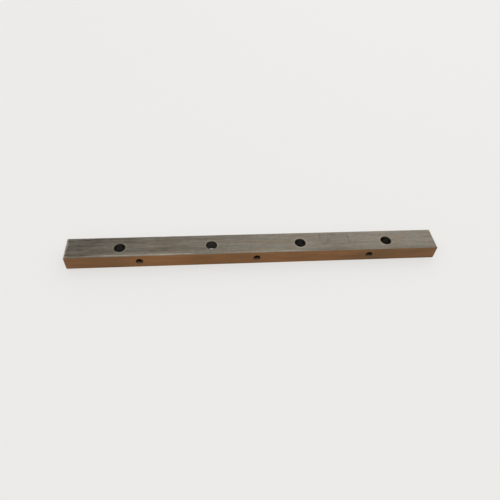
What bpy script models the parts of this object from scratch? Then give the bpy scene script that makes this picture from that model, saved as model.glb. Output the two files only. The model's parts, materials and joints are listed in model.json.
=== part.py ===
"""Cutting blade: a straight bar of hardened tool steel, ground on all its faces.

Four clearance holes run down through the bar and take the bolts that clamp it to its holder. Three blind
tapped holes enter the ground front face. The long edges on that face are the cutting edges.

The frame: +X runs along the bar, +Y from the ground front face to the back face and +Z up. The origin is the
middle of the underside, so the blade rests on the plane z = 0.
"""

import math

import bmesh
import bpy

MM = 0.001

# The bar
BAR_LENGTH = 381.0 * MM
BAR_WIDTH = 26.0 * MM
BAR_HEIGHT = 16.0 * MM

# What is taken off the bar's edges, as the leg of a 45 degree chamfer
CUTTING_EDGE_LAND = 0.15 * MM
BACK_EDGE_BREAK = 0.40 * MM
END_CHAMFER = 1.00 * MM
END_CORNER_BREAK = 0.40 * MM

# The row of clearance holes for the clamping bolts, centred on the bar's length
BOLT_HOLES = 4
BOLT_HOLE_PITCH = 91.6 * MM
BOLT_HOLE_DIAMETER = 10.7 * MM
BOLT_HOLE_FROM_FRONT = 12.0 * MM
BOLT_HOLE_CHAMFER = 0.50 * MM

# The row of blind tapped holes in the front face, at half the bar's height, bored plain at the thread's
# outer size
TAPPED_HOLES = 3
TAPPED_HOLE_PITCH = 117.9 * MM
THREAD_DIAMETER = 6.35 * MM
TAPPED_HOLE_DEPTH = 16.0 * MM
TAPPED_MOUTH_DIAMETER = 7.4 * MM
DRILL_POINT_ANGLE = math.radians(118.0)

# How far a cutter stands out of the face that it cuts
CUTTER_OVERRUN = 2.0 * MM

# How finely the turned cutters are faceted and joined up
BOLT_HOLE_SIDES = 64
TAPPED_HOLE_SIDES = 48
MERGE_DISTANCE = 0.001 * MM
SMOOTH_BELOW = math.radians(30.0)

# The bare ground steel
STEEL_COLOUR = (0.25, 0.24, 0.22, 1.0)
STEEL_ROUGHNESS = 0.28


def clear_scene():
    """Empties the scene that Blender starts with."""
    for scene_object in list(bpy.data.objects):
        bpy.data.objects.remove(scene_object)


def new_collection(name):
    """A new collection in the scene."""
    collection = bpy.data.collections.new(name)
    bpy.context.scene.collection.children.link(collection)
    return collection


def ground_steel():
    """The finish of the bar: bare ground steel."""
    material = bpy.data.materials.new("ground_steel")
    material.use_nodes = True
    shader = material.node_tree.nodes["Principled BSDF"]
    shader.inputs["Base Color"].default_value = STEEL_COLOUR
    shader.inputs["Metallic"].default_value = 1.0
    shader.inputs["Roughness"].default_value = STEEL_ROUGHNESS
    return material


def edge_chamfer(edge):
    """The chamfer leg of one edge of the plain bar, by where the edge lies."""
    along = edge.verts[1].co - edge.verts[0].co
    if abs(along.z) > 0.5 * BAR_HEIGHT:
        return END_CORNER_BREAK
    if abs(along.y) > 0.5 * BAR_WIDTH:
        return END_CHAMFER
    return CUTTING_EDGE_LAND if edge.verts[0].co.y < 0 else BACK_EDGE_BREAK


def bar_blank(collection):
    """The bar without its holes: a box whose edges are chamfered by a weighted Bevel."""
    mesh = bpy.data.meshes.new("blade")
    shape = bmesh.new()
    bmesh.ops.create_cube(shape, size=1.0)
    bmesh.ops.scale(shape, vec=(BAR_LENGTH, BAR_WIDTH, BAR_HEIGHT), verts=shape.verts)
    bmesh.ops.translate(shape, vec=(0.0, 0.0, BAR_HEIGHT / 2), verts=shape.verts)
    widest = max(CUTTING_EDGE_LAND, BACK_EDGE_BREAK, END_CHAMFER, END_CORNER_BREAK)
    weight = shape.edges.layers.float.new("bevel_weight_edge")
    for edge in shape.edges:
        edge[weight] = edge_chamfer(edge) / widest
    shape.to_mesh(mesh)
    shape.free()

    blade = bpy.data.objects.new("blade", mesh)
    collection.objects.link(blade)
    bevel = blade.modifiers.new("edge_chamfers", "BEVEL")
    bevel.limit_method = "WEIGHT"
    bevel.offset_type = "OFFSET"
    bevel.width = widest
    bevel.segments = 1
    return blade


def turned_mesh(name, profile, sides, collection):
    """A closed turned mesh about Z, which every cutter of one row shares.

    The profile is (radius, height) points, from the axis at the top, down the outer side, to the axis below.
    """
    outline = bpy.data.meshes.new(name + "_outline")
    points = [(radius, 0.0, height) for radius, height in profile]
    outline.from_pydata(points, [(index, index + 1) for index in range(len(points) - 1)], [])
    blank = bpy.data.objects.new(name + "_blank", outline)
    collection.objects.link(blank)

    screw = blank.modifiers.new("turn", "SCREW")
    screw.steps = sides
    screw.render_steps = sides
    screw.use_merge_vertices = True
    screw.merge_threshold = MERGE_DISTANCE

    evaluated = blank.evaluated_get(bpy.context.evaluated_depsgraph_get())
    turned = bpy.data.meshes.new_from_object(evaluated)
    turned.name = name
    turned.shade_smooth()
    turned.set_sharp_from_angle(angle=SMOOTH_BELOW)
    bpy.data.objects.remove(blank)
    bpy.data.meshes.remove(outline)
    return turned


def bolt_hole_mesh(collection):
    """The cutter of a clearance hole: a rod as long as the bar is high, flared at each face for the chamfer."""
    radius = BOLT_HOLE_DIAMETER / 2
    flare = radius + BOLT_HOLE_CHAMFER + CUTTER_OVERRUN
    upper, lower = BAR_HEIGHT, 0.0
    profile = [
        (0.0, upper + CUTTER_OVERRUN),
        (flare, upper + CUTTER_OVERRUN),
        (radius, upper - BOLT_HOLE_CHAMFER),
        (radius, lower + BOLT_HOLE_CHAMFER),
        (flare, lower - CUTTER_OVERRUN),
        (0.0, lower - CUTTER_OVERRUN),
    ]
    return turned_mesh("bolt_hole_cutter", profile, BOLT_HOLE_SIDES, collection)


def tapped_hole_mesh(collection):
    """The cutter of a tapped hole, mouth up at height 0: a countersink, the bore and the drill's point."""
    radius = THREAD_DIAMETER / 2
    mouth = TAPPED_MOUTH_DIAMETER / 2
    point = radius / math.tan(DRILL_POINT_ANGLE / 2)
    profile = [
        (0.0, CUTTER_OVERRUN),
        (mouth + CUTTER_OVERRUN, CUTTER_OVERRUN),
        (radius, radius - mouth),
        (radius, -TAPPED_HOLE_DEPTH),
        (0.0, -TAPPED_HOLE_DEPTH - point),
    ]
    return turned_mesh("tapped_hole_cutter", profile, TAPPED_HOLE_SIDES, collection)


def row_places(count, pitch):
    """Where the holes of a row lie along the bar, centred on its length."""
    return [(index - (count - 1) / 2) * pitch for index in range(count)]


def add_cutter(collection, name, mesh, location, rotation=(0.0, 0.0, 0.0)):
    """Places one cutter. It is a helper: it is drawn as wire and left out of renders."""
    cutter = bpy.data.objects.new(name, mesh)
    cutter.location = location
    cutter.rotation_euler = rotation
    cutter.hide_render = True
    cutter.display_type = "WIRE"
    collection.objects.link(cutter)
    return cutter


def add_bolt_holes(collection):
    """The cutters of the clearance holes, in a row that runs down through the bar."""
    mesh = bolt_hole_mesh(collection)
    row_y = BOLT_HOLE_FROM_FRONT - BAR_WIDTH / 2
    for index, x in enumerate(row_places(BOLT_HOLES, BOLT_HOLE_PITCH), start=1):
        add_cutter(collection, f"bolt_hole_cutter_{index}", mesh, (x, row_y, 0.0))


def add_tapped_holes(collection):
    """The cutters of the tapped holes, each turned so that its mouth is on the front face."""
    mesh = tapped_hole_mesh(collection)
    mouth_to_front = (math.radians(90.0), 0.0, 0.0)
    for index, x in enumerate(row_places(TAPPED_HOLES, TAPPED_HOLE_PITCH), start=1):
        place = (x, -BAR_WIDTH / 2, BAR_HEIGHT / 2)
        add_cutter(collection, f"tapped_hole_cutter_{index}", mesh, place, mouth_to_front)


def build_blade():
    """The whole blade: the chamfered bar with both rows of holes cut from it."""
    clear_scene()
    collection = new_collection("cutting_blade")
    cutters = new_collection("cutters")
    add_bolt_holes(cutters)
    add_tapped_holes(cutters)

    blade = bar_blank(collection)
    holes = blade.modifiers.new("holes", "BOOLEAN")
    holes.operation = "DIFFERENCE"
    holes.operand_type = "COLLECTION"
    holes.collection = cutters
    holes.solver = "EXACT"
    blade.data.materials.append(ground_steel())
    return blade


build_blade()
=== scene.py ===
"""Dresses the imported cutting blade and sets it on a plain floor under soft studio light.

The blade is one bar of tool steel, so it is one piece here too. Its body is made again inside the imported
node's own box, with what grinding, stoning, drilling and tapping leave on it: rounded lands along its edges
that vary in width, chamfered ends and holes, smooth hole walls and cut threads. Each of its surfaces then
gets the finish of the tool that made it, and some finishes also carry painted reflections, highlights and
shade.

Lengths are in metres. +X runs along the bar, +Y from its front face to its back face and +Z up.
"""

from __future__ import annotations

import json
import logging
import math
from abc import ABC, abstractmethod
from collections.abc import Mapping, Sequence
from dataclasses import dataclass
from enum import Enum, IntEnum
from typing import Any

import bmesh
import bpy
from mathutils import Matrix, Vector, noise


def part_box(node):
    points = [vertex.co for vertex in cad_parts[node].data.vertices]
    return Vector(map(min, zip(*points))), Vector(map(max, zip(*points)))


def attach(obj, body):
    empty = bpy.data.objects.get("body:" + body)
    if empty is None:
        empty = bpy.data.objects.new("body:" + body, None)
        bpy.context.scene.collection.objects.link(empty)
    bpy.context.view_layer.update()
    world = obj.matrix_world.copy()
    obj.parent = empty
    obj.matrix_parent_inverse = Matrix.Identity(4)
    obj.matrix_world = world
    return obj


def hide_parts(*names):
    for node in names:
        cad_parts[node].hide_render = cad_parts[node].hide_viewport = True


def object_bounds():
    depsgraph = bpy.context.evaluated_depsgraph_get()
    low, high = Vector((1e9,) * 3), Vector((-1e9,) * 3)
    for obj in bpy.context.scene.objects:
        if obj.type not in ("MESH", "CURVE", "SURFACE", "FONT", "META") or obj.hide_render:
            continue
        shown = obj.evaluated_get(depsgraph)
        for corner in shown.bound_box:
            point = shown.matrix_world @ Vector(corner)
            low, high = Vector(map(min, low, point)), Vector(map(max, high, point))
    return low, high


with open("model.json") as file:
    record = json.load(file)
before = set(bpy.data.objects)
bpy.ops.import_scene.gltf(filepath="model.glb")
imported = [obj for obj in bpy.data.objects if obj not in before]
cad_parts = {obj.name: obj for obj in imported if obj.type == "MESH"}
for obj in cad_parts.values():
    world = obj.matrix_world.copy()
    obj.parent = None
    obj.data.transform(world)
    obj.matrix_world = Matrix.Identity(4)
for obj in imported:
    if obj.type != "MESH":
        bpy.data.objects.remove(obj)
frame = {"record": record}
CAD_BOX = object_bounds()

MM = 0.001
MICRON = 0.001 * MM
BODY = "root"
NODE = "blade"

Pair = tuple[float, float]
Triple = tuple[float, float, float]
Colour = Triple
Course = tuple[Pair, ...]  # Shares of the bar's length, each with a number there.

log = logging.getLogger("cutting_blade")


def add_object(name: str, data: bpy.types.ID) -> bpy.types.Object:
    """Makes an object and links it to the scene.

    Args:
        name: The object's name.
        data: Its mesh, lamp or camera.

    Returns:
        The object.
    """
    thing = bpy.data.objects.new(name, data)
    bpy.context.scene.collection.objects.link(thing)
    return thing


def applied_mesh(thing: bpy.types.Object) -> bpy.types.Mesh:
    """A copy of an object's mesh with its modifiers applied."""
    return bpy.data.meshes.new_from_object(thing.evaluated_get(bpy.context.evaluated_depsgraph_get()))


class Signal:
    """One output of a node. Python's operators on it add Math nodes, so an expression builds its nodes."""

    def __init__(self, board: NodeBoard, socket: bpy.types.NodeSocket) -> None:
        """Wraps an output socket of the board's tree."""
        self.board = board
        self.socket = socket

    def output(self, name: str | int) -> Signal:
        """Another output of the same node."""
        return Signal(self.board, self.socket.node.outputs[name])

    def __add__(self, other: Operand) -> Signal:
        """self + other"""
        return self.board.math("ADD", self, other)

    def __radd__(self, other: Operand) -> Signal:
        """other + self"""
        return self.board.math("ADD", other, self)

    def __sub__(self, other: Operand) -> Signal:
        """self - other"""
        return self.board.math("SUBTRACT", self, other)

    def __rsub__(self, other: Operand) -> Signal:
        """other - self"""
        return self.board.math("SUBTRACT", other, self)

    def __mul__(self, other: Operand) -> Signal:
        """self * other"""
        return self.board.math("MULTIPLY", self, other)

    def __rmul__(self, other: Operand) -> Signal:
        """other * self"""
        return self.board.math("MULTIPLY", other, self)

    def __truediv__(self, other: Operand) -> Signal:
        """self / other"""
        return self.board.math("DIVIDE", self, other)

    def __pow__(self, other: Operand) -> Signal:
        """self ** other"""
        return self.board.math("POWER", self, other)

    def __abs__(self) -> Signal:
        """abs(self)"""
        return self.board.math("ABSOLUTE", self)

    def __gt__(self, other: Operand) -> Signal:
        """1 where self > other, else 0"""
        return self.board.math("GREATER_THAN", self, other)


Operand = Signal | float


class NodeBoard:
    """A shader or geometry tree that is filled from Python."""

    def __init__(self, tree: bpy.types.NodeTree) -> None:
        """Takes the tree over and empties it."""
        self.tree = tree
        tree.nodes.clear()

    def node(
        self,
        kind: str,
        settings: Mapping[str, Any] | None = None,
        inputs: Mapping[str | int, Any] | None = None,
        output: str | int = 0,
    ) -> Signal:
        """Adds a node.

        Args:
            kind: The node's type, such as "ShaderNodeTexNoise".
            settings: Its properties, which are set first. "stops" gives a ramp's (position, colour) pairs.
            inputs: A value or a Signal for each socket that doesn't keep its default, by name or index.
            output: The output that is wanted.

        Returns:
            That output.
        """
        node = self.tree.nodes.new(kind)
        for name, value in (settings or {}).items():
            if name == "stops":
                self._set_stops(node.color_ramp, value)
            else:
                setattr(node, name, value)
        for key, value in (inputs or {}).items():
            self._feed(node.inputs[key], value)
        return Signal(self, node.outputs[output])

    def end(self, kind: str, name: str, result: Signal) -> None:
        """Adds the node that ends the tree, and links the result to its socket of that name."""
        self._feed(self.tree.nodes.new(kind).inputs[name], result)

    def math(self, operation: str, *operands: Operand) -> Signal:
        """The result of a Math node, such as "MAXIMUM" of two operands."""
        return self.node("ShaderNodeMath", {"operation": operation}, dict(enumerate(operands)))

    def ease(self, value: Operand, start: float, end: float) -> Signal:
        """A smooth step from 0, where the value is at start, to 1 at end, which may lie below start."""
        settings = {"interpolation_type": "SMOOTHSTEP"}
        return self.node("ShaderNodeMapRange", settings, {0: value, 1: start, 2: end})

    def blend(self, share: Operand, first: Signal | Colour, second: Signal | Colour) -> Signal:
        """A mix of two colours, with as much of the second as share says, from 0 to 1."""
        return self.node("ShaderNodeMix", {"data_type": "RGBA"}, {0: share, 6: first, 7: second}, output=2)

    def shade(self, colour: Signal | Colour, strength: Operand) -> Signal:
        """A colour times a number that may vary."""
        return self.node("ShaderNodeVectorMath", {"operation": "SCALE"}, {0: colour, "Scale": strength})

    def tint(self, colour: Signal | Colour, other: Signal) -> Signal:
        """A colour times a colour."""
        return self.node("ShaderNodeVectorMath", {"operation": "MULTIPLY"}, {0: colour, 1: other})

    def _feed(self, socket: bpy.types.NodeSocket, value: Any) -> None:
        """Links a Signal to a socket, or sets the socket's own value.

        Args:
            socket: The socket that takes the value.
            value: A Signal, a number, a vector, a data-block or a colour without alpha.
        """
        if isinstance(value, Signal):
            self.tree.links.new(value.socket, socket)
        elif socket.type == "RGBA":
            socket.default_value = (*value, 1.0)
        else:
            socket.default_value = value

    @staticmethod
    def _set_stops(ramp: bpy.types.ColorRamp, stops: Sequence[tuple[float, Colour]]) -> None:
        """Gives a ramp its stops.

        Args:
            ramp: The ramp of a Color Ramp node.
            stops: Each stop's position and colour, in order.
        """
        while len(ramp.elements) < len(stops):
            ramp.elements.new(1.0)
        for element, (position, colour) in zip(ramp.elements, stops):
            element.position = position
            element.color = (*colour, 1.0)


class SteelBoard(NodeBoard):
    """A shader tree with the patterns that tools leave on the blade, all on the blade's own coordinates."""

    def __init__(self, tree: bpy.types.NodeTree) -> None:
        """Starts the tree with the coordinates that every pattern reads.

        Args:
            tree: The material's tree.
        """
        super().__init__(tree)
        self.place = self.node("ShaderNodeTexCoord", output="Object")
        self.x = self.node("ShaderNodeSeparateXYZ", inputs={0: self.place})
        self.y = self.x.output("Y")
        self.z = self.x.output("Z")

    def streaks(self, reach: Triple, detail: float = 2.0, shift: float = 0.0, turn: float = 0.0) -> Signal:
        """Noise that is drawn out into streaks.

        Args:
            reach: How far a streak runs along X, Y and Z, in millimetres.
            detail: How many finer layers it has.
            shift: Moves it, so that two patterns differ.
            turn: Its angle about Z.

        Returns:
            The noise, mostly between 0.25 and 0.75.
        """
        place = self.place
        if turn:
            place = self.node("ShaderNodeMapping", inputs={"Vector": place, "Rotation": (0.0, 0.0, turn)})
        scale = [1.0 / along for along in Vector(reach) * MM]
        inputs = {"Vector": place, "Location": [shift] * 3, "Scale": scale}
        drawn = self.node("ShaderNodeMapping", inputs=inputs)
        return self.node("ShaderNodeTexNoise", inputs={"Vector": drawn, "Scale": 1.0, "Detail": detail})

    def scratches(self, reach: Triple, fineness: float, shift: float, turn: float = 0.0) -> Signal:
        """Thin wandering lines where streaks cross their middle value, to within fineness. See streaks."""
        return self.ease(abs(self.streaks(reach, 1.0, shift, turn) - 0.5), fineness, 0.0)

    def course(self, share: Signal, levels: Course) -> Signal:
        """A number that changes along the bar, where share says how far along it a point lies."""
        stops = [(position, (level, level, level)) for position, level in levels]
        return self.node("ShaderNodeValToRGB", {"stops": stops}, {0: share}) * 1.0  # A number, not a grey.

    def distance(self, centre: Pair, reach: Pair = (1.0, 1.0)) -> Signal:
        """How far a point lies from an upright axis.

        Args:
            centre: The axis's X and Y.
            reach: What counts as 1 along X and along Y.

        Returns:
            The distance, in metres where reach isn't given.
        """
        along = (self.x - centre[0]) / reach[0]
        across = (self.y - centre[1]) / reach[1]
        return (along * along + across * across) ** 0.5


@dataclass(frozen=True)
class Look:
    """What a finish gives its shader: a colour, a roughness and a relief in metres."""

    colour: Signal
    roughness: Operand
    relief: Signal


@dataclass(frozen=True)
class Finish(ABC):
    """A finish of bare steel, which builds its own material."""

    name: str

    @abstractmethod
    def look(self, board: SteelBoard) -> Look:
        """The pattern of the finish.

        Args:
            board: The material's tree.

        Returns:
            What its shader takes.
        """

    def material(self) -> bpy.types.Material:
        """Builds the material.

        Returns:
            A metal with the finish's colour, roughness and relief.
        """
        material = bpy.data.materials.new(self.name)
        material.use_nodes = True
        board = SteelBoard(material.node_tree)
        look = self.look(board)
        bump = board.node("ShaderNodeBump", inputs={"Height": look.relief, "Distance": 1.0})
        inputs = {"Base Color": look.colour, "Roughness": look.roughness, "Metallic": 1.0, "Normal": bump}
        metal = board.node("ShaderNodeBsdfPrincipled", inputs=inputs)
        board.end("ShaderNodeOutputMaterial", "Surface", metal)
        return material


@dataclass(frozen=True)
class Smudge:
    """A faint dark mark on the top face."""

    centre: Pair
    reach: Pair
    depth: float


@dataclass(frozen=True, kw_only=True)
class GroundFace(Finish):
    """The ground faces: streaks along the bar, on a tone that lightens from its left end to its right,
    partly as its own tone and partly as a painted reflection of surroundings that are brighter on the
    right.

    A pair in capitals is where a mark starts and where it is whole.
    """

    name: str = "ground_face"
    low: Pair
    length: float
    hole_places: tuple[Pair, ...]
    hue: Colour = (1.0, 0.885, 0.715)
    # levels: the tone along the bar, partly the steel's own and partly a painted reflection, lighter to the
    # right.
    levels: Course = (
        (0.03, 0.138), (0.13, 0.150), (0.22, 0.180), (0.30, 0.174), (0.50, 0.183),
        (0.66, 0.178), (0.72, 0.164), (0.80, 0.192), (0.97, 0.187),
    )
    # The band behind the front edge: partly burnish, and its thin line a painted highlight.
    burnish_and_highlight: Course = (
        (0.01, 0.32), (0.045, 0.32), (0.07, 0.70), (0.13, 0.62), (0.17, 0.28), (0.20, 0.52),
        (0.25, 0.90), (0.30, 0.70), (0.35, 0.20), (0.60, 0.20), (0.66, 0.0),
    )
    # How strong the painted highlight along the rear edge is, along the bar.
    rear_highlight_levels: Course = (
        (0.03, 0.15), (0.16, 0.16), (0.24, 0.20), (0.32, 0.17), (0.42, 0.04), (0.55, 0.06), (0.75, 0.12),
    )
    warm: Colour = (1.03, 1.0, 0.97)
    cool: Colour = (0.97, 1.0, 1.04)
    roughness: float = 0.34
    grain_depth: float = 1.2 * MICRON
    smudges: tuple[Smudge, ...] = (
        Smudge((0.0675, 0.0075), (0.0014, 0.0046), 0.30),
        Smudge((0.0715, -0.0025), (0.0050, 0.0026), 0.13),
        Smudge((0.0760, 0.0030), (0.0015, 0.0048), 0.20),
        Smudge((0.0810, 0.0100), (0.0045, 0.0013), 0.25),
        Smudge((0.0880, 0.0010), (0.0040, 0.0012), 0.17),
        Smudge((0.0975, 0.0048), (0.0015, 0.0078), 0.31),
    )
    hatched: Smudge = Smudge((0.0550, -0.0010), (0.0045, 0.0045), 0.26)

    FRONT_BAND = (5.2 * MM, 1.6 * MM)
    FRONT_FRAY = 4.0 * MM
    FRONT_LINE = 1.3 * MM
    LINE_WIDTH = 1.1 * MM
    DULL_PART = (0.58, 0.70)
    RIGHT_END = (0.84, 0.92)
    RIGHT_END_BAND = (11.0 * MM, 3.0 * MM)
    REAR_HIGHLIGHT_BAND = (10.0 * MM, 11.7 * MM)
    END_HIGHLIGHT_BAND = (2.1 * MM, 1.3 * MM)
    END_HIGHLIGHT_FRAY = 2.4 * MM
    RUB_RADIUS = 6.5 * MM
    RUB_WIDTH = 1.4 * MM
    CROSSED_PART = (174.0 * MM, 184.0 * MM)

    def look(self, board: SteelBoard) -> Look:
        """Long streaks of three widths, short ones, the marks that use has left, and painted highlights
        along the edges. See Finish.look.
        """
        share = (board.x - self.low[0]) / self.length
        fine = board.streaks((40, 0.22, 0.22), detail=3.0)
        middle = board.streaks((34, 0.9, 0.9), shift=13.0)
        coarse = board.streaks((48, 2.4, 2.4), shift=3.0, turn=0.02)
        short = board.streaks((9, 1.3, 1.3), shift=23.4)
        cloud = board.streaks((22, 7, 7), shift=7.0)
        stain = board.streaks((4.5, 2.0, 2.0), detail=3.0, shift=17.0)
        depth = 1.25 - 0.80 * board.ease(share, 0.0, 0.62)
        drawn = (middle - 0.5) * 0.55 + (coarse - 0.5) * 1.05 + (short - 0.5) * 0.75
        strength = 1.0 + (fine - 0.5) * 0.30 + drawn * depth + (cloud - 0.5) * 0.40 + (stain - 0.5) * 0.50
        # The end band is a painted highlight beside the left end.
        strength = strength * (1.0 + self._front_band(board, share, middle) + self._end_highlight(board, stain))
        # The marks include the painted highlight line along the rear edge.
        marks = self._rubs(board, cloud) + self._lines(board) + self._rear_highlight(board, share)
        strength = strength * (1.0 + marks)
        # The course of levels darkens the left end: partly the steel's tone, partly a painted reflection.
        strength = strength * (1.0 - self._smudges(board, cloud)) * board.course(share, self.levels)
        tint = board.blend(board.ease(cloud, 0.35, 0.65), self.warm, self.cool)
        roughness = self.roughness + (coarse - 0.5) * 0.16 + (cloud - 0.5) * 0.10
        relief = (fine * 0.6 + middle * 0.8) * self.grain_depth
        return Look(board.shade(board.tint(self.hue, tint), strength), roughness, relief)

    def _front_band(self, board: SteelBoard, share: Signal, ragged: Signal) -> Signal:
        """The band behind the front edge: burnished along the left part, with a painted highlight line just
        inside the edge, and a little duller on the right.

        At the right end it is wider and fainter.

        Args:
            board: The material's tree.
            share: Where a point lies along the bar.
            ragged: The streaks that fray the band.

        Returns:
            How much lighter it is.
        """
        inward = board.y - self.low[1]
        frayed = inward + (ragged - 0.5) * self.FRONT_FRAY
        wide = board.ease(frayed, *self.FRONT_BAND)
        line = board.ease(abs(frayed - self.FRONT_LINE), self.LINE_WIDTH, 0.1 * MM)
        inside = board.ease(inward, 0.0, self.FRONT_LINE)
        # The wide band is burnish; the line just inside the edge is a painted highlight.
        light = (wide * 0.40 + line * 2.00) * inside * board.course(share, self.burnish_and_highlight)
        at_end = board.ease(share, *self.RIGHT_END)
        dull = wide * board.ease(share, *self.DULL_PART) * (0.17 - at_end * 0.09)
        return light - dull - board.ease(frayed, *self.RIGHT_END_BAND) * at_end * 0.09

    def _rear_highlight(self, board: SteelBoard, share: Signal) -> Signal:
        """The thin painted highlight line just inside the rear edge, faintest at the middle of the bar."""
        return board.ease(board.y, *self.REAR_HIGHLIGHT_BAND) * board.course(share, self.rear_highlight_levels)

    def _end_highlight(self, board: SteelBoard, ragged: Signal) -> Signal:
        """The lighter band beside the left end, a painted highlight, widest behind the middle of the bar's
        width.

        Args:
            board: The material's tree.
            ragged: What frays the band.

        Returns:
            How much lighter it is.
        """
        # A painted highlight: the top face is lighter just inside the left end's chamfer.
        inward = board.x - self.low[0] + (ragged - 0.5) * self.END_HIGHLIGHT_FRAY
        wide = board.ease(abs(board.y - 3.5 * MM), 6.0 * MM, 2.0 * MM) * MM
        return board.ease(inward - wide, *self.END_HIGHLIGHT_BAND) * 1.1

    def _rubs(self, board: SteelBoard, worn: Signal) -> Signal:
        """How much lighter the rings rubbed round the through holes are, where they are worn."""
        rims = [abs(board.distance(place) - self.RUB_RADIUS) for place in self.hole_places]
        return sum(board.ease(rim, self.RUB_WIDTH, 0.0) for rim in rims) * board.ease(worn, 0.25, 0.6) * 0.3

    def _smudges(self, board: SteelBoard, ragged: Signal) -> Signal:
        """How much darker the smudges on the right half are, whose rims the ragged pattern frays."""
        rims = [board.distance(mark.centre, mark.reach) + (ragged - 0.5) * 1.2 for mark in self.smudges]
        return sum(board.ease(rim, 1.3, 0.0) * mark.depth for rim, mark in zip(rims, self.smudges))

    def _lines(self, board: SteelBoard) -> Signal:
        """Stray lines along the bar, some across its right end, and slanting ones beside the third hole.

        Args:
            board: The material's tree.

        Returns:
            How much lighter they are.
        """
        along = board.scratches((70, 3.4, 3.4), 0.010, shift=5.4, turn=-0.03)
        across = board.scratches((1.8, 40, 40), 0.05, shift=11.4) * board.ease(board.x, *self.CROSSED_PART)
        slanting = board.scratches((14, 1.1, 14), 0.09, shift=21.4, turn=-0.85)
        near = board.ease(board.distance(self.hatched.centre, self.hatched.reach), 1.3, 0.6)
        return along * 0.16 + across * 0.09 + slanting * near * self.hatched.depth


@dataclass(frozen=True, kw_only=True)
class LappedFace(Finish):
    """The lapped front face: close to a mirror, with hairlines along the bar. Its brown tones are a painted
    reflection of a wooden board.

    The reflected warmth is how far the tone is the warm one, along the bar.
    """

    name: str = "lapped_face"
    start: float
    length: float
    # dull and warm are brown tones of a painted reflection of a wooden board, not the steel's own colour.
    dull: Colour = (0.176, 0.093, 0.043)
    warm: Colour = (0.262, 0.125, 0.053)
    reflected_warmth: Course = (
        (0.02, 0.32), (0.14, 0.24), (0.21, 1.0), (0.26, 0.92), (0.36, 0.50),
        (0.73, 0.56), (0.78, 0.06), (0.86, 0.02), (0.90, 0.24),
    )
    roughness: float = 0.09
    relief: float = 0.08 * MICRON

    def look(self, board: SteelBoard) -> Look:
        """A dark polish with a painted reflection of a brown board, warmer in places, faint hairlines and a
        slight haze. See Finish.look.
        """
        haze = board.streaks((30, 5, 5))
        hair = board.streaks((50, 0.25, 0.25), shift=4.0)
        # Where along the bar the painted reflection is warmer.
        reflected_warmth = board.course((board.x - self.start) / self.length, self.reflected_warmth)
        colour = board.shade(board.blend(reflected_warmth, self.dull, self.warm), 0.60 + haze * 0.6 + hair * 0.2)
        roughness = self.roughness + (haze - 0.5) * 0.06 + (hair - 0.5) * 0.05
        return Look(colour, roughness, hair * self.relief)


@dataclass(frozen=True)
class EndFace(Finish):
    """The end faces: ground across the bar, with coarser lines than its long faces."""

    name: str = "end_face"
    tone: Colour = (0.21, 0.187, 0.155)
    roughness: float = 0.34
    relief: float = 4.0 * MICRON

    def look(self, board: SteelBoard) -> Look:
        """Lines that run across the end, and a dull cloudy tone. See Finish.look."""
        lines = board.streaks((20, 24, 0.35), detail=3.0)
        cloud = board.streaks((6, 6, 6), shift=2.0)
        colour = board.shade(self.tone, 0.72 + lines * 0.36 + cloud * 0.2)
        return Look(colour, self.roughness + lines * 0.16, lines * self.relief)


@dataclass(frozen=True)
class StonedEdge(Finish):
    """The stoned lands: brighter than the faces, because the stone has just cut them."""

    name: str = "stoned_edge"
    tone: Colour = (0.26, 0.235, 0.20)
    roughness: float = 0.22
    relief: float = 1.5 * MICRON

    def look(self, board: SteelBoard) -> Look:
        """Bright steel that is duller in places. See Finish.look."""
        wear = board.streaks((14, 3, 3))
        lines = board.streaks((6, 0.1, 0.1), shift=6.0)
        colour = board.shade(self.tone, 0.6 + wear * 0.6 + (lines - 0.5) * 0.3)
        return Look(colour, self.roughness + wear * 0.16, lines * self.relief)


@dataclass(frozen=True)
class CutChamfer(Finish):
    """The chamfers of the ends: bright where the cutter left them, with a few dull spots."""

    name: str = "cut_chamfer"
    tone: Colour = (0.56, 0.515, 0.46)
    roughness: float = 0.20
    relief: float = 2.0 * MICRON

    def look(self, board: SteelBoard) -> Look:
        """Short cutter marks on bright steel. See Finish.look."""
        wear = board.streaks((3, 3, 3), detail=3.0, shift=1.0)
        marks = board.streaks((0.4, 0.4, 3), shift=8.0)
        colour = board.shade(self.tone, 0.62 + wear * 0.6 + (marks - 0.5) * 0.3)
        return Look(colour, self.roughness + wear * 0.2, marks * self.relief)


@dataclass(frozen=True)
class Countersink(Finish):
    """The chamfers of the through holes: dull, as the walls are, with the rings of the cutter."""

    name: str = "countersink"
    tone: Colour = (0.108, 0.096, 0.080)
    roughness: float = 0.34
    relief: float = 3.0 * MICRON

    def look(self, board: SteelBoard) -> Look:
        """A dull blotchy tone with fine rings. See Finish.look."""
        rings = board.streaks((30, 30, 0.12), shift=1.0)
        cloud = board.streaks((2.5, 2.5, 2.5), detail=3.0, shift=8.0)
        colour = board.shade(self.tone, 0.6 + rings * 0.3 + cloud * 0.5)
        return Look(colour, self.roughness + cloud * 0.2, rings * self.relief)


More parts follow.
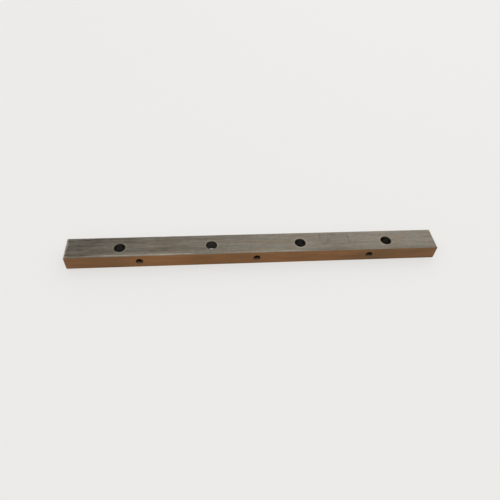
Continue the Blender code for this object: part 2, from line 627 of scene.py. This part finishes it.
@dataclass(frozen=True, kw_only=True)
class BoredWall(Finish):
    """The walls of the through holes: dark, with painted shade that deepens low down, and ringed by the
    drill.

    One hole has a painted reflection: a bright band low in its wall.
    """

    name: str = "bored_wall"
    tone: Colour = (0.080, 0.070, 0.059)
    painted_reflection_tone: Colour = (0.62, 0.60, 0.54)
    painted_reflection_place: Pair
    painted_reflection_top: float = 5.75 * MM
    roughness: float = 0.36
    relief: float = 5.0 * MICRON

    def look(self, board: SteelBoard) -> Look:
        """Rings about the hole's axis on a dark blotchy tone. See Finish.look."""
        rings = board.streaks((30, 30, 0.22))
        cloud = board.streaks((3, 3, 3), detail=3.0, shift=9.0)
        # A painted reflection: a bright band low in the wall of one hole.
        near = board.ease(board.distance(self.painted_reflection_place), 8.0 * MM, 7.0 * MM)
        bright = near * board.ease(board.z, self.painted_reflection_top, self.painted_reflection_top - 0.8 * MM)
        # Painted shade: the wall darkens towards the bottom of the hole.
        depth = 0.05 + 0.95 * board.ease(board.z, 3.0 * MM, 14.0 * MM)
        dark = board.shade(self.tone, (0.5 + rings * 0.5 + cloud * 0.5) * depth)
        colour = board.blend(bright, dark, self.painted_reflection_tone)
        return Look(colour, self.roughness + cloud * 0.2, rings * self.relief)


@dataclass(frozen=True, kw_only=True)
class TappedMouth(Finish):
    """The countersinks of the tapped holes: dull with oil, with painted shade over their upper part and
    painted light along their lower lip.
    """

    name: str = "tapped_mouth"
    tone: Colour = (0.141, 0.084, 0.054)
    axis: float
    roughness: float = 0.30
    relief: float = 4.0 * MICRON

    def look(self, board: SteelBoard) -> Look:
        """A dull blotchy tone, lighter below the hole's axis as painted light and darker above as painted
        shade. See Finish.look.
        """
        cloud = board.streaks((1.5, 1.5, 1.5), detail=3.0, shift=4.4)
        # Painted light along the lower lip, where light from above falls; the rest is darkened as painted
        # shade.
        painted_light_below = board.ease(board.z - self.axis, -1.4 * MM, -3.1 * MM)
        strength = (0.7 + cloud * 0.6) * (0.25 + 0.75 * painted_light_below)
        return Look(board.shade(self.tone, strength), self.roughness + cloud * 0.2, cloud * self.relief)


@dataclass(frozen=True, kw_only=True)
class CutThread(Finish):
    """The threads: dark with old oil, brighter where the tap tore them, and lighter low down near the face
    as painted light.
    """

    name: str = "cut_thread"
    tone: Colour = (0.055, 0.032, 0.020)
    face: float
    axis: float
    roughness: float = 0.34
    relief: float = 4.0 * MICRON

    def look(self, board: SteelBoard) -> Look:
        """A dark cut surface, torn a little along the thread. See Finish.look."""
        torn = board.streaks((1.2, 0.25, 1.2), detail=3.0)
        # Painted light: the lower wall near the mouth is lighter, where light from above reaches it.
        painted_light_near_mouth = board.ease(board.y - self.face, 3.8 * MM, 1.0 * MM)
        painted_light_near_mouth = painted_light_near_mouth * board.ease(board.z - self.axis, -1.3 * MM, -2.5 * MM)
        strength = (0.55 + torn * 0.9) * (0.55 + painted_light_near_mouth * 1.7)
        return Look(board.shade(self.tone, strength), self.roughness + torn * 0.2, torn * self.relief)


class Region(IntEnum):
    """The blade's kinds of surface. Each value is the index of the finish's material."""

    GROUND = 0
    LAPPED = 1
    END = 2
    EDGE = 3
    CHAMFER = 4
    COUNTERSINK = 5
    BORE = 6
    MOUTH = 7
    THREAD = 8


Materials = Mapping[Region, bpy.types.Material]


class LongEdge(Enum):
    """The bar's long edges, as (Y side, Z side), in the order in which its section meets them."""

    FRONT_BOTTOM = (-1, -1)
    BACK_BOTTOM = (1, -1)
    BACK_TOP = (1, 1)
    FRONT_TOP = (-1, 1)


@dataclass(frozen=True)
class Box:
    """An axis-aligned box."""

    low: Vector
    high: Vector

    @property
    def centre(self) -> Vector:
        """The middle of the box."""
        return (self.low + self.high) / 2

    @property
    def size(self) -> Vector:
        """The box's length along each axis."""
        return self.high - self.low

    def clamped(self, point: Vector) -> Vector:
        """The point of the box that is nearest to a point."""
        return Vector([min(max(at, low), high) for at, low, high in zip(point, self.low, self.high)])


@dataclass
class BarBlank:
    """The ground bar before it is drilled.

    Its long edges carry narrow rounded lands whose width wanders. Its ends are chamfered, more across the
    top and the underside than up the corners.
    """

    box: Box
    cutting_land: float = 0.10 * MM
    back_land: float = 0.40 * MM
    land_wander: float = 0.35
    end_chamfer: float = 1.00 * MM
    corner_break: float = 0.40 * MM
    station_step: float = 1.0 * MM

    ROUNDING = 1.0 - math.sqrt(0.5)

    def land(self, edge: LongEdge, x: float) -> float:
        """How wide the land of one edge is at one place.

        Args:
            edge: The edge.
            x: The place along the bar.

        Returns:
            How far the land reaches over each of the two faces.
        """
        seed = 10.0 * list(LongEdge).index(edge)
        wander = 1.0 + self.land_wander * noise.noise(Vector((x / (9.0 * MM), seed, 0.0)))
        wander += self.land_wander * noise.noise(Vector((x / (2.0 * MM), seed, 5.0)))
        return wander * (self.cutting_land if edge.value[0] < 0 else self.back_land)

    def section(self, x: float) -> list[Vector]:
        """The bar's outline across its length, inside the chamfers of its ends.

        Args:
            x: The place along the bar.

        Returns:
            Three points for the round of each edge, anticlockwise as seen from +X.
        """
        from_end = min(x - self.box.low.x, self.box.high.x - x)
        inset = Vector((0.0, max(self.corner_break - from_end, 0.0), max(self.end_chamfer - from_end, 0.0)))
        inner = Box(self.box.low + inset, self.box.high - inset)
        points = []
        for edge in LongEdge:
            side_y, side_z = edge.value
            corner = Vector((
                x,
                self.box.low.y if side_y < 0 else self.box.high.y,
                self.box.low.z if side_z < 0 else self.box.high.z,
            ))
            land = self.land(edge, x)
            inward = Vector((0.0, -side_y * land, 0.0))
            upward = Vector((0.0, 0.0, -side_z * land))
            round_over = [corner + upward, corner + (inward + upward) * self.ROUNDING, corner + inward]
            points += round_over if side_y * side_z > 0 else round_over[::-1]
        return [inner.clamped(point) for point in points]

    def strips(self) -> list[tuple[Region, float]]:
        """The strips between the points of a section.

        Returns:
            Each strip's region, and how far the chamfer of the bar's end reaches over it.
        """
        rounded = (Region.EDGE, self.end_chamfer)
        underside = top = (Region.GROUND, self.end_chamfer)
        back = (Region.GROUND, self.corner_break)
        front = (Region.LAPPED, self.corner_break)
        return [strip for face in (underside, back, top, front) for strip in (rounded, rounded, face)]

    def stations(self) -> list[float]:
        """The places along the bar at which its section is set.

        Returns:
            Each place's X, in order.
        """
        breaks = (0.0, self.corner_break, self.end_chamfer)
        low, high = self.box.low.x, self.box.high.x
        start, end = low + self.end_chamfer, high - self.end_chamfer
        count = round((end - start) / self.station_step)
        between = [start + (end - start) * index / count for index in range(1, count)]
        return [low + inset for inset in breaks] + between + [high - inset for inset in reversed(breaks)]

    def build(self) -> bpy.types.Mesh:
        """Lofts the bar through its sections.

        Returns:
            A closed mesh whose faces know their Region.
        """
        stations = self.stations()
        strips = self.strips()
        shape = bmesh.new()
        loops = [[shape.verts.new(point) for point in self.section(x)] for x in stations]
        for index in range(len(loops) - 1):
            near, far = loops[index], loops[index + 1]
            middle = (stations[index] + stations[index + 1]) / 2
            from_end = min(middle - self.box.low.x, self.box.high.x - middle)
            for side, (region, chamfer) in enumerate(strips):
                after = (side + 1) % len(strips)
                face = shape.faces.new((near[side], near[after], far[after], far[side]))
                face.material_index = Region.CHAMFER if from_end < chamfer else region
        for loop in (loops[0], loops[-1]):
            shape.faces.new(loop).material_index = Region.END
        bmesh.ops.remove_doubles(shape, verts=shape.verts, dist=0.1 * MICRON)
        bmesh.ops.dissolve_degenerate(shape, edges=shape.edges, dist=0.1 * MICRON)
        bmesh.ops.recalc_face_normals(shape, faces=shape.faces)
        mesh = bpy.data.meshes.new("bar_blank")
        shape.to_mesh(mesh)
        shape.free()
        return mesh


class GeometryBoard(NodeBoard):
    """A geometry tree with named sizes, which is run once to make a plain mesh."""

    SOCKETS = {int: "NodeSocketInt", float: "NodeSocketFloat", Vector: "NodeSocketVector"}

    def __init__(self, name: str, sizes: Mapping[str, int | float | Vector]) -> None:
        """Starts a tree.

        Args:
            name: The tree's name.
            sizes: Its inputs, by name.
        """
        super().__init__(bpy.data.node_groups.new(name, "GeometryNodeTree"))
        self.sizes = sizes
        for label, value in sizes.items():
            self.tree.interface.new_socket(label, in_out="INPUT", socket_type=self.SOCKETS[type(value)])
        self.tree.interface.new_socket("Geometry", in_out="OUTPUT", socket_type="NodeSocketGeometry")
        self.group_input = self.tree.nodes.new("NodeGroupInput")

    def size(self, label: str) -> Signal:
        """The input of that name."""
        return Signal(self, self.group_input.outputs[label])

    def rod(self, segments: int | Signal, depth: float | Signal, ends: str) -> Signal:
        """A rod of radius 1 about the origin and along Z, with as many sides as the input Sides says."""
        sizes = {"Vertices": self.size("Sides"), "Side Segments": segments, "Radius": 1.0, "Depth": depth}
        return self.node("GeometryNodeMeshCylinder", {"fill_type": ends}, sizes)

    def position(self) -> tuple[Signal, Signal, Signal]:
        """The coordinates of each point."""
        x = self.node("ShaderNodeSeparateXYZ", inputs={0: self.node("GeometryNodeInputPosition")})
        return x, x.output("Y"), x.output("Z")

    def turn(self, rod: Signal, radius: Signal, level: Signal) -> Signal:
        """Gives each point of a rod its own radius and level.

        Args:
            rod: The rod, of radius 1.
            radius: The radius of each point.
            level: The height of each point.

        Returns:
            The turned shape.
        """
        x, y, _ = self.position()
        shaped = self.node("ShaderNodeCombineXYZ", inputs={0: x * radius, 1: y * radius, 2: level})
        return self.node("GeometryNodeSetPosition", inputs={"Geometry": rod, "Position": shaped})

    def row(self, geometry: Signal, rotation: Sequence[float] = (0.0, 0.0, 0.0)) -> Signal:
        """Repeats a shape along a line, by the inputs Count, First and Step.

        Args:
            geometry: The shape, about its own origin.
            rotation: How each copy is turned.

        Returns:
            The copies, as real geometry.
        """
        sockets = {"Count": "Count", "Start Location": "First", "Offset": "Step"}
        inputs = {socket: self.size(label) for socket, label in sockets.items()}
        line = self.node("GeometryNodeMeshLine", {"mode": "OFFSET"}, inputs)
        inputs = {"Points": line, "Instance": geometry, "Rotation": rotation}
        copies = self.node("GeometryNodeInstanceOnPoints", inputs=inputs)
        return self.node("GeometryNodeRealizeInstances", inputs={0: copies})

    def dress(self, geometry: Signal, material: bpy.types.Material, where: Signal | bool = True) -> Signal:
        """The geometry with a material on some or all of its faces."""
        inputs = {"Geometry": geometry, "Selection": where, "Material": material}
        return self.node("GeometryNodeSetMaterial", inputs=inputs)

    def run(self, geometry: Signal) -> bpy.types.Mesh:
        """Ends the tree, evaluates it and removes it.

        Args:
            geometry: The realized and dressed result.

        Returns:
            The result as a plain mesh.
        """
        name = self.tree.name
        self.end("NodeGroupOutput", "Geometry", geometry)
        carrier = add_object(name, bpy.data.meshes.new(name))
        modifier = carrier.modifiers.new(name, "NODES")
        modifier.node_group = self.tree
        for item in self.tree.interface.items_tree:
            if item.in_out == "INPUT":
                modifier[item.identifier] = self.sizes[item.name]
        mesh = applied_mesh(carrier)
        bpy.data.objects.remove(carrier)
        bpy.data.node_groups.remove(self.tree)
        return mesh


@dataclass
class HoleRow(ABC):
    """A row of like holes, which knows where its first hole is and how far apart they are."""

    count: int
    first: Vector
    step: Vector

    OVERRUN = 2.0 * MM

    @classmethod
    def from_openings(cls, boxes: Sequence[Box], axis: int, level: float, **sizes: float) -> HoleRow:
        """Finds the row in the record's openings.

        Args:
            boxes: The box of each hole, in order along the row.
            axis: The axis that the holes run along: 1 for Y and 2 for Z.
            level: Where on that axis they start.
            **sizes: The row's own sizes.

        Returns:
            The row.
        """
        places = [box.centre for box in boxes]
        for place in places:
            place[axis] = level
        return cls(len(places), places[0], places[1] - places[0], **sizes)

    @property
    def places(self) -> list[Vector]:
        """Where each hole is."""
        return [self.first + self.step * index for index in range(self.count)]

    def line_sizes(self) -> dict[str, int | Vector]:
        """The inputs that set out the row in a geometry tree."""
        return {"Count": self.count, "First": self.first, "Step": self.step}

    @abstractmethod
    def cutters(self, materials: Materials) -> list[bpy.types.Mesh]:
        """The shapes that are cut from the bar.

        Args:
            materials: The material of each region.

        Returns:
            One closed mesh for each tool that makes the row.
        """


@dataclass
class ThroughHoleRow(HoleRow):
    """The clearance holes, which run down through the bar and are chamfered at both faces."""

    depth: float
    radius: float = 5.35 * MM
    chamfer: float = 0.50 * MM
    sides: int = 128

    def cutters(self, materials: Materials) -> list[bpy.types.Mesh]:
        """One row of rods, flared at both ends for the chamfers. See HoleRow.cutters."""
        sizes = {
            **self.line_sizes(),
            "Sides": self.sides,
            "Radius": self.radius,
            "Half Wall": self.depth / 2 - self.chamfer,
            "Flare": self.chamfer + self.OVERRUN,
        }
        board = GeometryBoard("through_hole_row", sizes)
        blank = board.rod(3, 3.0, "NGON")
        height = board.position()[2]
        outer = abs(height) > 1.0
        radius = board.size("Radius") + outer * board.size("Flare")
        level = board.math("SIGN", height) * (board.size("Half Wall") + outer * board.size("Flare"))
        rods = board.row(board.turn(blank, radius, level))
        normal = board.node("ShaderNodeSeparateXYZ", inputs={0: board.node("GeometryNodeInputNormal")})
        slanting = abs(normal.output("Z")) > 0.5
        walls = board.dress(rods, materials[Region.BORE])
        return [board.run(board.dress(walls, materials[Region.COUNTERSINK], slanting))]


@dataclass
class TappedHoleRow(HoleRow):
    """The blind holes in the front face: drilled, countersunk and tapped."""

    core_radius: float = 2.60 * MM
    mouth_radius: float = 3.70 * MM
    depth: float = 16.0 * MM
    thread_depth: float = 13.0 * MM
    pitch: float = 1.27 * MM
    major_radius: float = 3.175 * MM
    point_angle: float = math.radians(118.0)
    sides: int = 72
    rows_per_turn: int = 16

    CREST_FLAT = 0.25
    ROOT_FLAT = 0.125
    LEAD_TURNS = 2.0
    INSIDE_CORE = 0.995
    INTO_FRONT = (math.radians(90.0), 0.0, 0.0)

    def cutters(self, materials: Materials) -> list[bpy.types.Mesh]:
        """The drill's shape and the tap's. See HoleRow.cutters."""
        return [self._drill(materials), self._tap(materials[Region.THREAD])]

    def _drill(self, materials: Materials) -> bpy.types.Mesh:
        """A rod with a flared mouth and a drill's point.

        Args:
            materials: The material of each region.

        Returns:
            The row of rods.
        """
        sizes = {
            **self.line_sizes(),
            "Sides": self.sides,
            "Core Radius": self.core_radius,
            "Countersink": self.mouth_radius - self.core_radius,
            "Depth": self.depth,
            "Point": self.core_radius / math.tan(self.point_angle / 2),
            "Overrun": self.OVERRUN,
        }
        board = GeometryBoard("tap_drill_row", sizes)
        blank = board.rod(2, 2.0, "TRIANGLE_FAN")
        x, y, z = board.position()
        above_mouth = z > 0.5
        at_wall = (z > -0.5) - above_mouth
        at_bottom = 1.0 - above_mouth - at_wall
        on_axis = 1.0 - ((x * x + y * y) > 0.5)
        flare = board.size("Countersink") + board.size("Overrun")
        radius = board.size("Core Radius") + above_mouth * flare
        level = above_mouth * board.size("Overrun") - at_wall * board.size("Countersink")
        level = level - at_bottom * (board.size("Depth") + on_axis * board.size("Point"))
        rod = board.dress(board.turn(blank, radius, level), materials[Region.THREAD])
        at_mouth = (board.position()[2] + board.size("Countersink")) > 0.0
        return board.run(board.row(board.dress(rod, materials[Region.MOUTH], at_mouth), self.INTO_FRONT))

    def _tap(self, material: bpy.types.Material) -> bpy.types.Mesh:
        """A rod whose surface winds out and in as the thread does, and fades into the core at its far end.

        Args:
            material: The material of the thread.

        Returns:
            The row of taps.
        """
        length = self.thread_depth + self.OVERRUN
        sizes = {
            **self.line_sizes(),
            "Sides": self.sides,
            "Rows": round(length / self.pitch * self.rows_per_turn),
            "Inner Radius": self.core_radius * self.INSIDE_CORE,
            "Groove": self.major_radius - self.core_radius,
            "Pitch": self.pitch,
            "Length": length,
            "Overrun": self.OVERRUN,
        }
        board = GeometryBoard("tap_row", sizes)
        blank = board.rod(board.size("Rows"), board.size("Length"), "NGON")
        x, y, z = board.position()
        turns = z / board.size("Pitch") - board.math("ARCTAN2", y, x) / math.tau
        to_crest = abs(board.math("FRACT", turns) * 2.0 - 1.0)
        flank = (1.0 - to_crest - self.CREST_FLAT) / (1.0 - self.CREST_FLAT - self.ROOT_FLAT)
        lead = (z + board.size("Length") / 2.0) / (board.size("Pitch") * self.LEAD_TURNS)
        groove = board.math("MAXIMUM", board.math("MINIMUM", flank, 1.0), 0.0)
        groove = groove * board.math("MINIMUM", lead, 1.0)
        radius = board.size("Inner Radius") + board.size("Groove") * groove
        level = z - board.size("Length") / 2.0 + board.size("Overrun")
        taps = board.row(board.turn(blank, radius, level), self.INTO_FRONT)
        return board.run(board.dress(taps, material))


@dataclass
class Blade:
    """The whole blade: its blank, its two rows of holes and its finishes."""

    blank: BarBlank
    rows: Sequence[HoleRow]
    finishes: Mapping[Region, Finish]

    SMOOTH_BELOW = math.radians(15.0)

    @classmethod
    def from_frame(cls) -> Blade:
        """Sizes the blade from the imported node's box and the record's openings.

        Returns:
            The blade, not yet built.
        """
        box = Box(*(Vector(corner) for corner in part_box(NODE)))
        openings = {
            opening["name"]: Box(*(Vector(corner) for corner in opening["box_m"]))
            for opening in frame["record"]["physics"]["openings"]
        }
        through = [opening for name, opening in openings.items() if name.startswith("bolt_hole")]
        tapped = [opening for name, opening in openings.items() if name.startswith("tapped_hole")]
        through_row = ThroughHoleRow.from_openings(through, axis=2, level=box.centre.z, depth=box.size.z)
        tapped_row = TappedHoleRow.from_openings(tapped, axis=1, level=box.low.y)
        places = tuple((place.x, place.y) for place in through_row.places)
        finishes = {
            Region.GROUND: GroundFace(low=(box.low.x, box.low.y), length=box.size.x, hole_places=places),
            Region.LAPPED: LappedFace(start=box.low.x, length=box.size.x),
            Region.END: EndFace(),
            Region.EDGE: StonedEdge(),
            Region.CHAMFER: CutChamfer(),
            Region.COUNTERSINK: Countersink(),
            Region.BORE: BoredWall(painted_reflection_place=places[1]),
            Region.MOUTH: TappedMouth(axis=box.centre.z),
            Region.THREAD: CutThread(face=box.low.y, axis=box.centre.z),
        }
        return cls(BarBlank(box), [through_row, tapped_row], finishes)

    def build(self) -> bpy.types.Object:
        """Makes the blade's mesh and dresses it.

        Returns:
            The finished piece.
        """
        materials = {region: finish.material() for region, finish in self.finishes.items()}
        blade = add_object("blade_body", self.blank.build())
        for region in Region:
            blade.data.materials.append(materials[region])
        for row in self.rows:
            for cutter in row.cutters(materials):
                self._cut(blade, cutter)
        blade.data.shade_smooth()
        blade.data.set_sharp_from_angle(angle=self.SMOOTH_BELOW)
        return blade

    @staticmethod
    def _cut(blade: bpy.types.Object, cutter: bpy.types.Mesh) -> None:
        """Cuts one closed mesh from the blade.

        Args:
            blade: The blade, whose mesh is replaced.
            cutter: What is cut away. The faces that it leaves keep its material.
        """
        tool = add_object(cutter.name, cutter)
        cut = blade.modifiers.new("cut", "BOOLEAN")
        cut.operation = "DIFFERENCE"
        cut.solver = "EXACT"
        cut.material_mode = "TRANSFER"
        cut.object = tool
        mesh = applied_mesh(blade)
        blade.modifiers.clear()
        blade.data = mesh
        bpy.data.objects.remove(tool)


@dataclass(frozen=True)
class PhotoCamera:
    """A camera that looks at the blade as the photograph does."""

    azimuth: float = math.radians(-8.155)
    elevation: float = math.radians(47.853)
    roll: float = math.radians(4.398)
    distance: float = 0.48989
    aim: Triple = (-0.00515, 0.00515, 0.0)
    focal_pixels: float = 462.34
    frame_pixels: float = 500.0
    sensor_mm: float = 36.0
    clip_start: float = 0.01

    def build(self) -> None:
        """Places the camera and makes it the scene's own."""
        data = bpy.data.cameras.new("photo_camera")
        data.sensor_width = self.sensor_mm
        data.lens = self.focal_pixels / self.frame_pixels * self.sensor_mm
        data.clip_start = self.clip_start
        camera = add_object("photo_camera", data)
        back = Vector((
            math.sin(self.azimuth) * math.cos(self.elevation),
            -math.cos(self.azimuth) * math.cos(self.elevation),
            math.sin(self.elevation),
        ))
        level = Vector((math.cos(self.azimuth), math.sin(self.azimuth), 0.0))
        upward = back.cross(level)
        right = level * math.cos(self.roll) + upward * math.sin(self.roll)
        up = upward * math.cos(self.roll) - level * math.sin(self.roll)
        turn = Matrix((right, up, back)).transposed().to_4x4()
        camera.matrix_world = Matrix.Translation(Vector(self.aim) + back * self.distance) @ turn
        bpy.context.scene.camera = camera


@dataclass(frozen=True)
class Softbox:
    """A rectangular lamp that faces a point."""

    name: str
    place: Triple
    target: Triple
    width: float
    height: float
    power: float

    def build(self) -> None:
        """Hangs the lamp."""
        data = bpy.data.lights.new(self.name, "AREA")
        data.shape = "RECTANGLE"
        data.size = self.width
        data.size_y = self.height
        data.energy = self.power
        lamp = add_object(self.name, data)
        lamp.location = self.place
        facing = Vector(self.target) - Vector(self.place)
        lamp.rotation_euler = facing.to_track_quat("-Z", "Y").to_euler()


@dataclass(frozen=True)
class Studio:
    """The plain floor, the pale surroundings and the soft lamp."""

    floor_size: float = 30.0
    floor_centre: Pair = (0.7, 0.9)
    floor_colour: Colour = (0.84, 0.83, 0.81)
    floor_roughness: float = 0.7
    floor_glow: Colour = (0.93, 0.925, 0.91)
    glow_share: float = 0.62
    backdrop_colour: Colour = (0.845, 0.838, 0.822)
    fill: float = 0.90
    lamp: Softbox = Softbox(
        "key_lamp", place=(0.68, 0.97, 1.07), target=(0.05, 0.0, 0.0), width=1.3, height=1.16, power=2.4
    )

    def build(self) -> None:
        """Lays the floor, lights the world and hangs the lamp."""
        self._lay_floor()
        self._light_world()
        self.lamp.build()
        bpy.context.scene.view_settings.view_transform = "Standard"

    def _lay_floor(self) -> None:
        """A plain pale floor under the blade, which looks a little paler than it is lit.

        It lies off centre, so that no seam of it runs under the blade.
        """
        mesh = bpy.data.meshes.new("floor")
        shape = bmesh.new()
        bmesh.ops.create_grid(shape, x_segments=1, y_segments=1, size=self.floor_size / 2)
        shape.to_mesh(mesh)
        shape.free()
        floor = add_object("floor", mesh)
        floor.location = (*self.floor_centre, float(CAD_BOX[0][2]))
        material = bpy.data.materials.new("floor_paint")
        material.use_nodes = True
        board = NodeBoard(material.node_tree)
        inputs = {"Base Color": self.floor_colour, "Roughness": self.floor_roughness}
        paint = board.node("ShaderNodeBsdfPrincipled", inputs=inputs)
        glow = board.node("ShaderNodeEmission", inputs={"Color": self.floor_glow, "Strength": 1.0})
        share = self._seen(board) * self.glow_share
        look = board.node("ShaderNodeMixShader", inputs={0: share, 1: paint, 2: glow})
        board.end("ShaderNodeOutputMaterial", "Surface", look)
        mesh.materials.append(material)

    def _light_world(self) -> None:
        """Even light from all round, which the camera and the steel see as a pale backdrop."""
        world = bpy.data.worlds.new("studio")
        world.use_nodes = True
        bpy.context.scene.world = world
        board = NodeBoard(world.node_tree)
        strength = self.fill + (1.0 - self.fill) * self._seen(board)
        inputs = {"Color": self.backdrop_colour, "Strength": strength}
        sky = board.node("ShaderNodeBackground", inputs=inputs)
        board.end("ShaderNodeOutputWorld", "Surface", sky)

    @staticmethod
    def _seen(board: NodeBoard) -> Signal:
        """What the camera sees, directly or by way of metal or glass.

        Args:
            board: The tree that asks.

        Returns:
            1 for that, else 0.
        """
        path = board.node("ShaderNodeLightPath", output="Is Camera Ray")
        seen = board.math("MAXIMUM", path, path.output("Is Glossy Ray"))
        return board.math("MAXIMUM", seen, path.output("Is Transmission Ray"))


def main() -> None:
    """Builds the camera, the studio and the blade, and reports each piece."""
    logging.basicConfig(level=logging.INFO, format="%(name)s: %(message)s")
    PhotoCamera().build()
    Studio().build()
    blade = Blade.from_frame().build()
    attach(blade, BODY)
    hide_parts(NODE)
    log.info("%s: %d faces in %d finishes", blade.name, len(blade.data.polygons), len(blade.data.materials))


if __name__ == "__main__":
    main()
